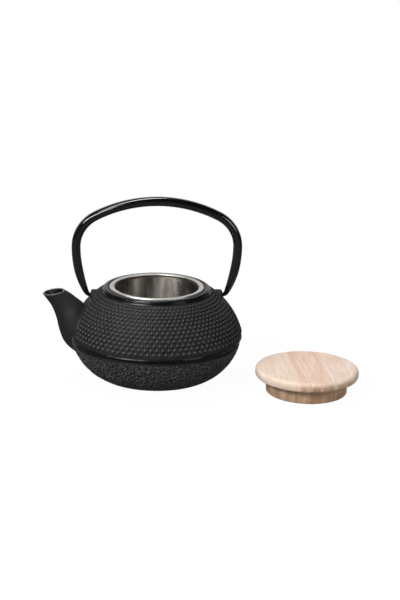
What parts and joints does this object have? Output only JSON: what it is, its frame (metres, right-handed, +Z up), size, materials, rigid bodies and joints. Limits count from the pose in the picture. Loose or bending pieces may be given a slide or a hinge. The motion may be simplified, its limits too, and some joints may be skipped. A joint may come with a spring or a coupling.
{
  "type": "teapot",
  "caption": "Round cast-iron teapot with a swinging bail handle, a short spout, a lift-out mesh infuser in its mouth, and a turned wooden lid that stands beside it on its plug.",
  "frame": {"origin": "middle of the pot's foot ring, on the surface that the pot stands on", "axes": "+Z up, the spout points along -X, and the handle's hinge line runs along X"},
  "size_m": [0.275, 0.1611, 0.1633],
  "materials": {
    "cast_iron_body": "black satin, studded above the belt and grainy below",
    "black_handle": "semi-gloss black",
    "pressed_steel": "brushed",
    "steel_mesh": "fine woven mesh",
    "pale_wood": "fine-sanded, unvarnished",
    "pink_wood": "fine-sanded, unvarnished",
    "grey_wood": "fine-sanded, unvarnished"
  },
  "bodies": {
    "pot": {"pot_body": "cast_iron_body", "studs": "cast_iron_body", "spout": "cast_iron_body"},
    "bail": {"bail_handle": "black_handle"},
    "infuser": {"infuser_rim": "pressed_steel", "infuser_wall": "steel_mesh", "infuser_base": "steel_mesh", "infuser_hoop": "pressed_steel"},
    "lid": {"lid_stave_left": "pale_wood", "lid_stave_middle": "pink_wood", "lid_stave_right": "grey_wood"}
  },
  "joints": [
    {"name": "bail_hinge", "type": "hinge", "parent": "pot", "child": "bail", "pos_m": [0, 0, 0.0753], "axis": [1, 0, 0], "range_deg": [-108, 108]},
    {"name": "infuser_lift", "type": "slide", "parent": "pot", "child": "infuser", "axis": [0, 0, 1], "range_m": [0, 0.06]},
    {"name": "lid_lift", "type": "slide", "parent": "pot", "child": "lid", "axis": [0, 0, 1], "range_m": [0, 0.1]}
  ]
}
